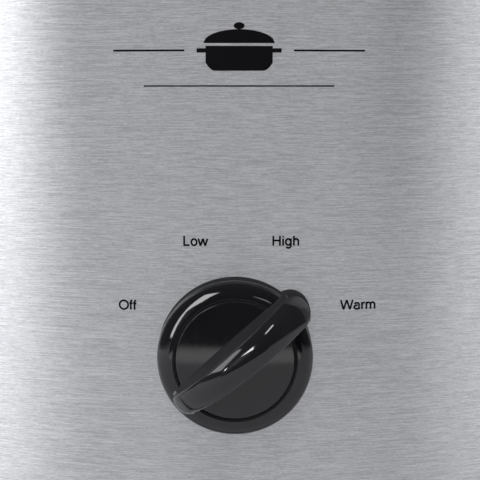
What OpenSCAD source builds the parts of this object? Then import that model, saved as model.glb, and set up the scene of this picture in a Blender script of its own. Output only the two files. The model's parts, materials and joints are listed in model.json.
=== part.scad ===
/* [Oval body] */
// Length of the steel wrap, left to right, without the handles
body_length = 348; // [336:1:360]
// Width of the steel wrap, front to back
body_width = 268; // [260:1:276]
// Height of the steel wrap
wrap_height = 164; // [158:1:172]
// Thickness of the steel sheet
sheet = 0.8; // [0.6:0.1:1]

/* [Base] */
// Height of the rubber feet that show under the base
foot_height = 5; // [4:0.5:6]
// Height of the black base ring that shows under the wrap
base_height = 17; // [17:0.5:19]

/* [Crock and lid] */
// Thickness of the stoneware wall
crock_wall = 6.5; // [5.5:0.5:7.5]
// Thickness of the lid's glass
glass = 4; // [3.5:0.5:5]
// How far the glass dome rises above its flat rim
dome_rise = 28; // [20:1:32]

/* [Control knob] */
// Diameter of the control knob's skirt
knob_d = 46; // [44:1:50]
// Height of the knob's axis above the table
knob_z = 68; // [66:1:70]
// Height of the knob's disc above the wrap
knob_disc = 12; // [11:0.1:12.5]
// How far the arched grip stands out from the wrap
knob_reach = 27.6; // [26.4:0.2:28]
// Turn of the pointer from upright, clockwise as seen from the front
pointer_angle = 50; // [0:1:60]

/* [Side handles] */
// How far each handle stands out from the wrap
handle_reach = 40; // [36:1:44]
// Height of the handles' middle
handle_z = 133; // [120:1:140]
// Half of the angle that a handle spans around the body's end
handle_half_angle = 28; // [26:1:30]

/* [Hidden] */

// The outline is an oval of four arcs, whose centres are two corners of a 3-4-5 triangle and their mirror
// images. An offset of 0 is the wrap's outer face, and an offset inwards is negative and keeps the centres.
oval_step = (body_length - body_width) / 4;
end_x = 3 * oval_step;
side_y = 4 * oval_step;
end_r = body_width / 2 - oval_step;
side_r = end_r + 5 * oval_step;
big = 400;
front = -body_width / 2;
rear = body_width / 2;

// Heights
wrap_bottom = foot_height + base_height - 2;
wrap_top = wrap_bottom + wrap_height;
rim_z = wrap_top + 2;
crock_top = rim_z + 10.5;
lid_seat = rim_z + 6.5;
well_bottom = wrap_bottom + 28;
crock_bottom = well_bottom + 3;
crock_floor = crock_bottom + 7;
lid_top = lid_seat + glass + dome_rise;

// The well and the crock lean outwards as they rise
draft = 0.09;
draft_angle = atan(draft);
well_gap = 15;
floor_u = -62;

// The lid's dome starts at this distance inside the wrap's face and ends this far from the end arcs' centres
dome_start = 22;
dome_flat = 4;

// Cord gland in the base ring's rear wall
gland_z = foot_height + 9.5;
gland_r = 5.5;
gland_flange_r = 7;
gland_flange = 2.5;
base_proud = 0.8;

// The knob stands out in front and the gland at the rear: this centres the whole object on its origin
body_y = (knob_reach - base_proud - gland_flange) / 2;

// Base ring
base_wall = 3.2;
flange = 3;
step_u = -27;
plate_u = -30;
ring_inner_u = -41;
plate_z = foot_height + flange;
foot_r = 11;
foot_angle = 40;
foot_u = -17;
screw_r = 1.5;
play = 0.05;
boss_r = 4;
plate_screw_u = -35.5;

// Switch
bushing_r = 4.5;
bushing_out = 6.5;
bracket_in = 2.4;
bracket_t = 1.5;
bracket_half = 22;
bracket_foot = 36;
bracket_above = 18;
switch_half = 15;
switch_front = -bracket_in - bracket_t;
switch_depth = 14.5;
switch_rear = switch_front - switch_depth;
switch_wall = 2;
shaft_r = 3;
post_x = 14;
post_in = 11;
contact_z = -12.4;
contact_t = 0.8;
contact_y = 5.5;
contact_w = 5;
contact_end = 23;
terminal_high = knob_z + contact_y;
terminal_low = knob_z - contact_y;

// Knob
skirt_r = knob_d / 2;
skirt_gap = 1;
groove_r = 17.9;
hub_r = 6.5;
hub_in = 7;
clip_r = 3.5;
blade_r = 24.2;
blade_shift = 2.7;
nose_r = 4.9;
tail_r = 3.7;
mark_tilt = 26;

// Handles
handle_gap = 0.05;
handle_pad = 5;
handle_grip = 13;
handle_height = 22;
post_angle = 7;
handle_screw_angle = handle_half_angle - post_angle / 2;

// Heater
band_low = well_bottom + 32;
band_high = band_low + 44;
band_t = 2;
band_gap = 13;
tab_t = 1.2;
spring_z = [band_low + 12, band_low + 32];
tab_x = 52;
warm_tab_x = 66;
wire_r = 1.2;

// Centre bolt
bolt_r = 3;
shield_z = wrap_bottom + 6;
shield_u = -36;

// Wires, as points from the oval's centre
fuse = [34, 52, well_bottom - 2.6];
fuse_length = 12;
line_route = [
  [20, 109.8, 13], [20, 106, 13], [20, 103, 17], [21, 102, 26], [23, 99, 36], [28, 90, 43],
  [33, 78, 45.2], [34, 70, 45.4], [34, 64.2, 45.4]
];
fused_route = [
  [34, 51.8, 45.4], [34, 46, 45], [30, 30, 42], [22, 0, 39], [22, -40, 38], [26, -80, 39], [31, -100, 42],
  [34, -108, 52], [34, -112, 61], [33, -117, 69], [29, -121.5, terminal_high - 0.2],
  [contact_end + 0.2, -122, terminal_high]
];
low_route = [
  [contact_end + 0.2, -122, terminal_low], [28, -122, terminal_low], [36, -120, 63.5], [45, -115, 66.5],
  [50.5, -109, 71.5], [52, -105.6, 76], [52, -105.4, band_low - 0.1]
];
high_route = [
  [-contact_end - 0.2, -122, terminal_high], [-28, -122, terminal_high], [-36, -120, 72.5],
  [-46, -113, 70.5], [-51, -107, 72.5], [-52, -105.4, 76], [-52, -105.4, band_low - 0.1]
];
warm_route = [
  [-contact_end - 0.2, -122, terminal_low], [-28, -122, terminal_low], [-38, -119, 61], [-52, -111, 61],
  [-62, -104, 66], [-66, -100.6, 74], [-66, -100.4, band_low - 0.1]
];
neutral_route = [
  [32, 109.8, 13], [32, 106, 13], [34, 103, 17], [39, 104, 28], [45, 107, 44], [50, 108.5, 60],
  [52, 106.5, 72], [52, 105.4, band_low - 0.1]
];

function arc(u, z, r, from, to, n = 6) =
  [for (i = [0:n]) let (a = from + (to - from) * i / n) [u + r * cos(a), z + r * sin(a)]];
function reversed(list) = [for (i = [len(list) - 1:-1:0]) list[i]];
function wall_u(z) = -well_gap - (wrap_top - z) * draft;
// One side of a cup that leans outwards: floor, rounded corner and wall, from the middle up to top_z
function cup(shift, floor_z, r, top_z) =
  let (z = floor_z + r, u = wall_u(z) + shift - r / cos(draft_angle))
  concat([[floor_u, floor_z]], arc(u, z, r, -90, -draft_angle), [[wall_u(top_z) + shift, top_z]]);
function dome_z(u) =
  let (t = (-u - dome_start) / (end_r - dome_flat - dome_start))
  dome_rise * pow(sin(90 * max(0, min(1, t))), 1.15);

module at_body() { translate([0, body_y, 0]) children(); }

// The stretches of plan that belong to the right end and to the front
module end_wedge() { polygon([[end_x, 0], [5 * end_x, -4 * side_y], [5 * end_x, 4 * side_y]]); }
module side_wedge() { polygon([[0, side_y], [-5 * end_x, -4 * side_y], [5 * end_x, -4 * side_y]]); }

// Sweeps a profile of offset and height around the oval
module sweep() {
  for (side = [0, 1]) mirror([side, 0, 0]) intersection() {
    translate([end_x, 0, 0]) rotate_extrude($fn = 96) translate([end_r, 0]) children();
    translate([0, 0, -big]) linear_extrude(2 * big) end_wedge();
  }
  for (side = [0, 1]) mirror([0, side, 0]) intersection() {
    translate([0, side_y, 0]) rotate_extrude($fn = 192) translate([side_r, 0]) children();
    translate([0, 0, -big]) linear_extrude(2 * big) side_wedge();
  }
}

// The plan between the two ends, where the long front and rear arcs bound the oval
module waist() {
  x = end_x + 3 * big / 5;
  y = 4 * big / 5;
  polygon([[end_x, 0], [x, y], [-x, y], [-end_x, 0], [-x, -y], [x, -y]]);
}

// A flat oval plate at an offset, from one height to another
module oval_plate(u, low, high) {
  translate([0, 0, low]) linear_extrude(high - low) {
    for (x = [-end_x, end_x]) translate([x, 0]) circle(r = end_r + u, $fn = 96);
    intersection() {
      translate([0, side_y]) circle(r = side_r + u, $fn = 192);
      translate([0, -side_y]) circle(r = side_r + u, $fn = 192);
      waist();
    }
  }
}

// Part of a ring around the right end of the body
module end_sector(half_angle) {
  translate([end_x, 0, 0]) rotate_extrude(angle = 2 * half_angle, start = -half_angle, $fn = 96)
    translate([end_r, 0]) children();
}

// A point at an offset on the four ends' arcs
module at_corners(u, angle) {
  for (sx = [-1, 1], sy = [-1, 1])
    translate([sx * (end_x + (end_r + u) * cos(angle)), sy * (end_r + u) * sin(angle), 0]) children();
}

// A place on the right end, looking outwards along its own Z
module at_end(angle, z) {
  translate([end_x, 0, z]) rotate([0, 90, angle]) translate([0, 0, end_r]) children();
}

// The control's axis: Z points out of the wrap's front, X to the right and Y up
module at_switch() { translate([0, front, knob_z]) rotate([90, 0, 0]) children(); }

module rounded_box(low, high, r) {
  w = high[0] - low[0];
  h = high[1] - low[1];
  translate([low[0] + r, low[1]]) square([w - 2 * r, h]);
  translate([low[0], low[1] + r]) square([w, h - 2 * r]);
  for (u = [low[0] + r, high[0] - r], v = [low[1] + r, high[1] - r])
    translate([u, v]) circle(r = r, $fn = 32);
}

module ring(inner, outer, low, high) {
  translate([0, 0, low]) difference() {
    cylinder(r = outer, h = high - low, $fn = 48);
    translate([0, 0, -1]) cylinder(r = inner, h = high - low + 2, $fn = 48);
  }
}

// A pan-head screw whose head's seat is at z = 0 and whose shank points along +Z
module screw(r, length) {
  head_r = 2 * r;
  translate([0, 0, -1.1 * r]) cylinder(r1 = 0.75 * head_r, r2 = head_r, h = 0.5 * r, $fn = 32);
  translate([0, 0, -0.6 * r]) cylinder(r = head_r, h = 0.6 * r, $fn = 32);
  cylinder(r = r, h = length, $fn = 32);
}

function unit(v) = v / norm(v);
function heading(p, i) = unit(p[min(i + 1, len(p) - 1)] - p[max(i - 1, 0)]);
function frames(p, i = 0, last = [0.2, 0.3, 1]) =
  i == len(p) ? [] :
  let (t = heading(p, i), n = unit(last - t * (last * t))) concat([[n, cross(t, n)]], frames(p, i + 1, n));

// A round wire along a list of points
module wire(path, r, sides = 8) {
  f = frames(path);
  rings = len(path);
  points = [for (i = [0:rings - 1], s = [0:sides - 1]) let (a = 360 * s / sides)
    path[i] + r * (cos(a) * f[i][0] + sin(a) * f[i][1])];
  walls = [for (i = [0:rings - 2], s = [0:sides - 1]) let (n = (s + 1) % sides)
    each [[i * sides + s, (i + 1) * sides + s, i * sides + n],
      [i * sides + n, (i + 1) * sides + s, (i + 1) * sides + n]]];
  caps = [[for (s = [0:sides - 1]) s], [for (s = [sides - 1:-1:0]) (rings - 1) * sides + s]];
  polyhedron(points, concat(walls, caps));
}

module end_screws() {
  for (side = [0, 1], angle = [-1, 1] * handle_screw_angle)
    mirror([side, 0, 0]) at_end(angle, handle_z) children();
}

// ---- Housing ----

module outer_wrap() {
  color("silver") at_body() difference() {
    sweep() polygon([[-sheet, wrap_bottom], [0, wrap_bottom], [0, wrap_top], [-sheet, wrap_top]]);
    at_switch() translate([0, 0, -10]) cylinder(r = bushing_r + 0.7, h = 20, $fn = 48);
    end_screws() translate([0, 0, -5]) cylinder(r = 2.3, h = 10, $fn = 32);
  }
}

module heating_well() {
  curl = 0.15;
  curl_t = 1.45;
  curl_low = wrap_top - 7;
  outside = cup(0, well_bottom, 20 + sheet, wrap_top);
  edge = [[curl, wrap_top], [curl, curl_low], [curl + curl_t, curl_low]];
  roll = arc(curl + curl_t - 2, wrap_top, 2, 0, 90);
  inside = cup(-sheet, well_bottom + sheet, 20, wrap_top - 0.4);
  color("dimgray") at_body() {
    sweep() polygon(concat(outside, edge, roll, [[-well_gap + 1.6, rim_z]], reversed(inside)));
    oval_plate(floor_u + 1, well_bottom, well_bottom + sheet);
  }
}

module base_ring() {
  low = foot_height;
  lip = wrap_bottom + 2;
  corner = 5.8;
  outer = arc(base_proud - corner, low + corner, corner, -90, 0);
  color([0.08, 0.08, 0.09]) at_body() difference() {
    union() {
      sweep() polygon(concat(outer, [
        [base_proud, lip], [0.1, lip], [0.1, wrap_bottom], [-sheet - 0.15, wrap_bottom],
        [-sheet - 0.15, wrap_bottom + 10], [-base_wall, wrap_bottom + 10], [-base_wall, low + flange],
        [step_u, low + flange], [step_u, plate_z + 3.5], [ring_inner_u, plate_z + 3.5],
        [ring_inner_u, plate_z + 1], [plate_u, plate_z + 1], [plate_u, low]
      ]));
      at_corners(plate_screw_u, 45) translate([0, 0, plate_z + 2]) cylinder(r = boss_r, h = 9, $fn = 32);
      for (x = [-1, 1] * post_x)
        translate([x, front + post_in, low + 1]) cylinder(r = boss_r, h = bracket_foot - low - 1, $fn = 32);
    }
    at_corners(plate_screw_u, 45) translate([0, 0, plate_z]) cylinder(r = screw_r + play, h = 10, $fn = 32);
    at_corners(foot_u, foot_angle) translate([0, 0, low - 1]) cylinder(r = boss_r + play, h = 6, $fn = 32);
    for (x = [-1, 1] * post_x)
      translate([x, front + post_in, bracket_foot - 12]) cylinder(r = screw_r + play, h = 13, $fn = 32);
    translate([0, rear + 5, gland_z]) rotate([90, 0, 0]) cylinder(r = gland_r + play, h = 12, $fn = 48);
  }
}

module bottom_plate() {
  slot_length = 34;
  slot_width = 3;
  color("gray") at_body() difference() {
    oval_plate(plate_u - 0.5, plate_z, plate_z + 1);
    translate([0, 0, plate_z - 1]) {
      cylinder(r = bolt_r + 0.3, h = 3, $fn = 32);
      for (x = [-95:12:95], y = [-1, 1] * 34)
        if (abs(x) > 12) translate([x, y, 1.5]) cube([slot_width, slot_length, 3], center = true);
    }
    at_corners(plate_screw_u, 45) translate([0, 0, plate_z - 1]) cylinder(r = screw_r + 0.3, h = 3, $fn = 32);
  }
}

module bottom_screws() {
  color("silver") at_body() at_corners(plate_screw_u, 45) translate([0, 0, plate_z]) screw(screw_r, 9);
}

module rubber_feet() {
  color([0.12, 0.12, 0.12]) at_body() at_corners(foot_u, foot_angle) rotate_extrude($fn = 48) polygon([
    [0, 0], [foot_r - 1.5, 0], [foot_r, 1.5], [foot_r - 1, foot_height], [boss_r, foot_height],
    [boss_r, foot_height + flange], [boss_r + 1.2, foot_height + flange], [boss_r - 0.5, foot_height + 5],
    [0, foot_height + 5]
  ]);
}

module side_handle() {
  low = handle_z - handle_height / 2;
  high = handle_z + handle_height / 2;
  mid = handle_half_angle - post_angle / 2;
  difference() {
    union() {
      end_sector(handle_half_angle) rounded_box([handle_gap, low], [handle_pad, high], 1.5);
      end_sector(handle_half_angle) rounded_box([handle_reach - handle_grip, low], [handle_reach, high], 5);
      for (side = [0, 1]) mirror([0, side, 0]) translate([end_x, 0, 0])
        rotate_extrude(angle = post_angle, start = mid - post_angle / 2, $fn = 96) translate([end_r, 0])
          rounded_box([handle_gap, low], [handle_reach, high], 1.5);
    }
    for (angle = [-1, 1] * handle_screw_angle) at_end(angle, handle_z) translate([0, 0, -1])
      cylinder(r = 2 + play, h = 19, $fn = 32);
  }
}

module side_handle_left() { color([0.07, 0.07, 0.08]) at_body() mirror([1, 0, 0]) side_handle(); }
module side_handle_right() { color([0.07, 0.07, 0.08]) at_body() side_handle(); }

washer_seat = -sheet - 0.15;

module handle_screws() {
  color("silver") at_body() end_screws() translate([0, 0, washer_seat - 0.8]) screw(2, 18);
}

module handle_washers() {
  color("silver") at_body() end_screws() ring(2.2, 5, washer_seat - 0.8, washer_seat);
}

// ---- Heater ----

function band_profile(low, high, near, far) =
  let (u_low = wall_u(low), u_high = wall_u(high))
  [[u_low + near, low], [u_low + far, low], [u_high + far, high], [u_high + near, high]];

module heater_band() {
  tab_high = band_low + 10;
  color("goldenrod") at_body() {
    difference() {
      sweep() polygon(band_profile(band_low, band_high, play, band_t));
      translate([-band_gap, 0, 0]) cube([2 * band_gap, big, big]);
    }
    intersection() {
      sweep() polygon(band_profile(band_low, tab_high, 0.5, band_t + 2));
      for (at = [[tab_x, -1], [-tab_x, -1], [-warm_tab_x, -1], [tab_x, 0]])
        translate([at[0] - 3, at[1] * big, 0]) cube([6, big, big]);
    }
    for (z = spring_z, x = [-band_gap - tab_t, band_gap]) difference() {
      translate([x, rear + wall_u(z) + 0.9, z - 3]) cube([tab_t, 7, 6]);
      translate([x - 1, rear + wall_u(z) + 5, z]) rotate([0, 90, 0]) cylinder(r = 0.9, h = 4, $fn = 32);
    }
  }
}

module heater_springs() {
  coil = 2.4;
  turns = 8;
  half = 9;
  steps = turns * 10;
  hook = [band_gap - 1, band_gap + tab_t + 1.5];
  color("silver") at_body() for (z = spring_z) translate([0, rear + wall_u(z) + 5, z]) wire(concat(
    [[-hook[1], 0, 0], [-hook[0], 0, 0]],
    [for (i = [0:steps]) let (a = 360 * turns * i / steps)
      [-half + 2 * half * i / steps, coil * cos(a), coil * sin(a)]],
    [[hook[0], 0, 0], [hook[1], 0, 0]]
  ), 0.5, 6);
}

module heat_shield() {
  color("lightgray") at_body() {
    difference() {
      oval_plate(shield_u, shield_z, shield_z + sheet);
      translate([0, 0, shield_z - 1]) cylinder(r = bolt_r + 0.2, h = 3, $fn = 32);
    }
    sweep() translate([shield_u - sheet, shield_z]) square([sheet, 6]);
  }
}

module bolt_spacers() {
  color("silver") at_body() {
    ring(bolt_r + 0.1, 6, shield_z + sheet, well_bottom - 1.2);
    ring(bolt_r + 0.1, 6, plate_z + 1, shield_z);
  }
}

module centre_bolt() {
  color("silver") at_body() {
    translate([0, 0, well_bottom - 1.2]) cylinder(r = 12, h = 1.2, $fn = 48);
    translate([0, 0, plate_z - 5]) cylinder(r = bolt_r, h = well_bottom - plate_z + 4, $fn = 32);
  }
}

module centre_washer() { color("silver") at_body() ring(bolt_r + 0.1, 8, plate_z - 0.8, plate_z); }

module centre_nut() {
  color("silver") at_body() translate([0, 0, plate_z - 4]) difference() {
    cylinder(r = 5.8, h = 3.2, $fn = 6);
    translate([0, 0, -1]) cylinder(r = bolt_r, h = 6, $fn = 32);
  }
}

// ---- Switch ----

module switch_bracket() {
  low = bracket_foot - knob_z;
  color("lightsteelblue") at_body() difference() {
    union() {
      at_switch() translate([-bracket_half, low, switch_front])
        cube([2 * bracket_half, bracket_above - low, bracket_t]);
      translate([-bracket_half, front + bracket_in, bracket_foot]) cube([2 * bracket_half, 15, bracket_t]);
    }
    at_switch() translate([0, 0, -10]) cylinder(r = bushing_r + 0.1, h = 10, $fn = 48);
    for (x = [-1, 1] * post_x)
      translate([x, front + post_in, bracket_foot - 1]) cylinder(r = screw_r + 0.2, h = 4, $fn = 32);
  }
}

module bracket_screws() {
  color("silver") at_body() for (x = [-1, 1] * post_x)
    translate([x, front + post_in, bracket_foot + bracket_t]) rotate([180, 0, 0]) screw(screw_r, 11);
}

// Four blades, two on each side, whose inner ends are the switch's fixed contacts
module blades() {
  for (sx = [0, 1], sy = [-1, 1]) mirror([sx, 0, 0])
    translate([5, sy * contact_y - contact_w / 2, contact_z]) cube([contact_end - 5, contact_w, contact_t]);
}

module switch_body() {
  color("ivory") at_body() at_switch() difference() {
    translate([0, 0, switch_rear + switch_wall]) linear_extrude(switch_depth - switch_wall)
      rounded_box([-switch_half, -switch_half], [switch_half, switch_half], 3);
    translate([0, 0, switch_rear]) cylinder(r = 12.5, h = switch_depth - switch_wall, $fn = 64);
    translate([0, 0, switch_rear]) cylinder(r = bushing_r, h = 30, $fn = 48);
    blades();
  }
}

module switch_back() {
  color("tan") at_body() at_switch() translate([0, 0, switch_rear]) linear_extrude(switch_wall)
    rounded_box([-switch_half, -switch_half], [switch_half, switch_half], 3);
}

module switch_bushing() {
  color("goldenrod") at_body() at_switch()
    ring(shaft_r + play, bushing_r, switch_front - switch_wall, bushing_out);
}

module switch_washer() { color("silver") at_body() at_switch() ring(bushing_r + 0.1, 8, 0, 0.7); }

module switch_nut() {
  color("goldenrod") at_body() at_switch() translate([0, 0, 0.7]) difference() {
    cylinder(r = 7.5, h = 2.5, $fn = 6);
    translate([0, 0, -1]) cylinder(r = bushing_r, h = 5, $fn = 48);
  }
}

module switch_terminals() { color("gold") at_body() at_switch() blades(); }

module detent_spring() {
  color("silver") at_body() at_switch() translate([0, 0, -9.5]) {
    rotate_extrude(angle = 70, start = 55, $fn = 96) translate([11.1, 0]) square([0.5, 2]);
    for (start = [55, 118])
      rotate_extrude(angle = 7, start = start, $fn = 96) translate([11.1, 0]) square([1.4, 2]);
  }
}

// ---- Wiring ----

module thermal_fuse() {
  color("silver") at_body() translate(fuse) rotate([-90, 0, 0]) cylinder(r = 2, h = fuse_length, $fn = 32);
}

module fuse_clip() {
  color("lightgray") at_body() translate([fuse[0], fuse[1] + 3, fuse[2]]) rotate([-90, 0, 0]) difference() {
    union() {
      cylinder(r = 2.55, h = 6, $fn = 32);
      translate([-8, -2.6, 0]) cube([16, 0.6, 6]);
    }
    translate([0, 0, -1]) cylinder(r = 2 + play, h = 8, $fn = 32);
  }
}

module terminal_block() {
  color("white") at_body() difference() {
    translate([14, rear - 24, plate_z]) cube([24, 14, 11]);
    for (x = [20, 32]) {
      translate([x, rear - 9, 13]) rotate([90, 0, 0]) cylinder(r = 1.8, h = 13, $fn = 32);
      translate([x, rear - 17, 13]) cylinder(r = 2, h = 10, $fn = 32);
    }
  }
}

module terminal_screws() {
  color("goldenrod") at_body() for (x = [20, 32])
    translate([x, rear - 17, 15]) cylinder(r = 2 - play, h = 3, $fn = 32);
}

module cord_gland() {
  out = rear + base_proud;
  color([0.1, 0.1, 0.1]) at_body() translate([0, 0, gland_z]) rotate([-90, 0, 0]) difference() {
    union() {
      translate([0, 0, out]) cylinder(r = gland_flange_r, h = gland_flange, $fn = 48);
      translate([0, 0, rear - 8]) cylinder(r = gland_r, h = 8 + base_proud, $fn = 48);
      translate([0, 0, rear - 7]) cylinder(r1 = gland_r, r2 = gland_r + 0.9, h = 3.4, $fn = 48);
    }
    translate([0, 0, rear - 10]) cylinder(r = 3.7, h = 20, $fn = 48);
  }
}

module wire_line() { color("black") at_body() wire(line_route, wire_r); }
module wire_fused() { color("black") at_body() wire(fused_route, wire_r); }
module wire_low() { color("red") at_body() wire(low_route, wire_r); }
module wire_high() { color("blue") at_body() wire(high_route, wire_r); }
module wire_warm() { color("orange") at_body() wire(warm_route, wire_r); }
module wire_neutral() { color("white") at_body() wire(neutral_route, wire_r); }

// ---- Control ----

module switch_shaft() {
  color("silver") at_body() at_switch() difference() {
    translate([0, 0, -12.9]) cylinder(r = shaft_r, h = 29.4, $fn = 48);
    rotate([0, 0, 90 - pointer_angle]) translate([2, -5, bushing_out + 0.5]) cube([5, 10, 15]);
  }
}

module switch_rotor() {
  color("white") at_body() at_switch() translate([0, 0, -10.5]) difference() {
    cylinder(r = 10.6, h = 3.5, $fn = 64);
    translate([0, 0, -1]) cylinder(r = shaft_r, h = 6, $fn = 48);
    for (i = [0:9]) rotate([0, 0, 36 * i]) translate([11, 0, -1]) cylinder(r = 1.2, h = 6, $fn = 24);
  }
}

module rotor_contact() {
  color("orangered") at_body() at_switch() difference() {
    ring(shaft_r + 0.2, 9.5, -11.3, -10.5);
    rotate([0, 0, 90 - pointer_angle]) translate([-20, -20, -12]) cube([20, 15, 3]);
  }
}

module knob_clip() {
  color("silver") at_body() at_switch() difference() {
    ring(shaft_r, clip_r, hub_in + 0.5, hub_in + 8);
    translate([-5, -0.5, 0]) cube([5, 1, 30]);
  }
}

// The skirt and disc as a dish, with the shallow groove between them
module knob_dish() {
  edge = 8.6;
  rise = knob_disc - skirt_gap - edge;
  crown = [for (i = [0:9]) let (a = 90 * i / 9)
    [groove_r + (skirt_r - groove_r) * cos(a), skirt_gap + edge + rise * sin(a) + 0.4 * sin(a)]];
  rotate_extrude($fn = 96) polygon(concat(
    [[skirt_r - 2, skirt_gap], [skirt_r, skirt_gap]], crown,
    [[groove_r - 0.1, knob_disc - 0.8], [groove_r - 0.7, knob_disc - 0.8], [groove_r - 0.8, knob_disc],
      [0, knob_disc], [0, knob_disc - 2.2], [groove_r - 1, knob_disc - 2.2], [skirt_r - 2, skirt_gap + 3]]
  ));
}

// The arched grip: a half-moon seen from the side, a tapered strip seen from the front
module knob_blade() {
  nose = blade_shift + blade_r - nose_r - 0.3;
  tail = blade_shift - blade_r + tail_r + 0.3;
  intersection() {
    translate([blade_shift, 0, knob_reach - blade_r]) rotate([90, 0, 0])
      translate([0, 0, -10]) cylinder(r = blade_r, h = 20, $fn = 128);
    linear_extrude(knob_reach + 5) {
      translate([nose, 0]) circle(r = nose_r, $fn = 48);
      translate([tail, 0]) circle(r = tail_r, $fn = 48);
      polygon([[nose, nose_r], [tail, tail_r], [tail, -tail_r], [nose, -nose_r]]);
    }
    translate([-big, -big, knob_disc - 8]) cube(2 * big);
  }
}

module control_knob() {
  color([0.03, 0.03, 0.035]) at_body() at_switch() rotate([0, 0, 90 - pointer_angle]) difference() {
    union() {
      knob_dish();
      difference() {
        knob_blade();
        translate([0, 0, -1]) cylinder(r = skirt_r - 2, h = knob_disc, $fn = 96);
      }
      translate([0, 0, hub_in]) cylinder(r = hub_r, h = knob_disc - hub_in, $fn = 48);
    }
    translate([0, 0, -1]) cylinder(r = clip_r + play, h = 18, $fn = 48);
    translate([blade_shift, 0, knob_reach - blade_r]) rotate([0, mark_tilt, 0])
      translate([-4, -0.5, blade_r - 0.4]) cube([8, 1, 2]);
  }
}

// ---- Crock and lid ----

module crock() {
  lug_half_angle = 26;
  lug = 17;
  outside = cup(-sheet - 1.8, crock_bottom, 18.5, rim_z - 2);
  inside = cup(-sheet - 1.8 - crock_wall, crock_floor, 22, lid_seat - 2);
  edge = arc(-2.5, rim_z + 3.5, 3.5, -90, 0, 4);
  lip = arc(-3, crock_top - 4, 4, 0, 90, 5);
  color([0.1, 0.1, 0.1]) at_body() {
    sweep() polygon(concat(
      outside, [[-well_gap - 0.5, rim_z]], edge, lip,
      [[-6.5, crock_top], [-8.5, lid_seat], [wall_u(lid_seat) - 6, lid_seat]], reversed(inside)
    ));
    oval_plate(floor_u + 1, crock_bottom, crock_floor);
    for (side = [0, 1]) mirror([side, 0, 0])
      end_sector(lug_half_angle) rounded_box([-4, rim_z + 1.2], [lug, crock_top - 1.2], 3);
  }
}

module lid_glass() {
  rim = -9.5;
  last = dome_flat - end_r;
  us = [for (i = [0:12]) -dome_start + (last + dome_start) * i / 12];
  color([0.75, 0.85, 0.9, 0.5]) at_body() difference() {
    union() {
      sweep() polygon(concat(
        [[rim, lid_seat], [rim, lid_seat + glass]],
        [for (u = us) [u, lid_seat + glass + dome_z(u)]],
        [[last - 2, lid_top], [last - 2, lid_top - glass]],
        [for (u = reversed(us)) [u - 1.5, lid_seat + dome_z(u - 1.5)]],
        [[1 - dome_start, lid_seat]]
      ));
      oval_plate(last - 1, lid_top - glass, lid_top);
    }
    translate([0, 0, lid_top - 10]) cylinder(r = 4, h = 20, $fn = 32);
  }
}

module lid_knob() {
  low = lid_top + 1.5;
  grip = arc(17, low + 18, 5, -60, 90);
  color([0.05, 0.05, 0.055]) at_body() difference() {
    rotate_extrude($fn = 96) polygon(concat(
      [[0, low], [17, low], [17, low + 1.5], [12, low + 5], [11, low + 9]],
      grip, [[8, low + 24], [0, low + 24.4]]
    ));
    translate([0, 0, low - 1]) cylinder(r = 2.5, h = 16, $fn = 32);
  }
}

module lid_knob_seal() { color("dimgray") at_body() ring(3, 15, lid_top, lid_top + 1.5); }
module lid_knob_washer() { color("silver") at_body() ring(2.6, 9, lid_top - glass - 1.3, lid_top - glass); }

module lid_knob_screw() {
  color("silver") at_body() translate([0, 0, lid_top - glass - 1.3]) screw(2.5, 18);
}

outer_wrap();
heating_well();
base_ring();
bottom_plate();
bottom_screws();
rubber_feet();
side_handle_left();
side_handle_right();
handle_screws();
handle_washers();
heater_band();
heater_springs();
heat_shield();
bolt_spacers();
centre_bolt();
centre_washer();
centre_nut();
switch_bracket();
bracket_screws();
switch_body();
switch_back();
switch_bushing();
switch_washer();
switch_nut();
switch_terminals();
detent_spring();
thermal_fuse();
fuse_clip();
terminal_block();
terminal_screws();
cord_gland();
wire_line();
wire_fused();
wire_low();
wire_high();
wire_warm();
wire_neutral();
switch_shaft();
switch_rotor();
rotor_contact();
knob_clip();
control_knob();
crock();
lid_glass();
lid_knob();
lid_knob_seal();
lid_knob_washer();
lid_knob_screw();
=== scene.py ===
"""The looks of an oval slow cooker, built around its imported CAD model. Profiles are in millimetres."""

import json
from math import acos, atan, atan2, cos, copysign, degrees, dist, hypot, pi, radians, sin, sqrt, tan

import bmesh
import bpy
from mathutils import Matrix, Quaternion, Vector

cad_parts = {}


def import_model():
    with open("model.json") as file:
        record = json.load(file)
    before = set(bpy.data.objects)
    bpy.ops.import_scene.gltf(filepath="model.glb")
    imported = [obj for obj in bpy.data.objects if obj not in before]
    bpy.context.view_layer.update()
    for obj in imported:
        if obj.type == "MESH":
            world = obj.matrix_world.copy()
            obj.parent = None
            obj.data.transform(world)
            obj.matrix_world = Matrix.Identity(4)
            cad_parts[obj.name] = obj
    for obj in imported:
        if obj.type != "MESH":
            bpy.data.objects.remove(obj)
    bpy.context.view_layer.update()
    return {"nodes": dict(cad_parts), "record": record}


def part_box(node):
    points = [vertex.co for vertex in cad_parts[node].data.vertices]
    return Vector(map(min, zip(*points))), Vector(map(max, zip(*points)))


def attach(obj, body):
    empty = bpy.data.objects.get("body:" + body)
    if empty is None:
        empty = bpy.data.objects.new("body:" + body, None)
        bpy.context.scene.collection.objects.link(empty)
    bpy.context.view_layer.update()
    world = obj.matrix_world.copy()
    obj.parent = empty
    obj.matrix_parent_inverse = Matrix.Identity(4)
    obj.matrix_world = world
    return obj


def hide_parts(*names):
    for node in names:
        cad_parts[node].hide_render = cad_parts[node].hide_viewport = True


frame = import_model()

MM = 0.001   # a millimetre in the scene's metres
WELD_DISTANCE = 1e-6
SLIVER_LENGTH = 1e-7
SHEET = 0.8   # thickness of the wrap's and the liner's steel


# ---- Sizes, all read from the CAD frame ----

def box_mm(node):
    low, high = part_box(node)
    return low / MM, high / MM


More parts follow.
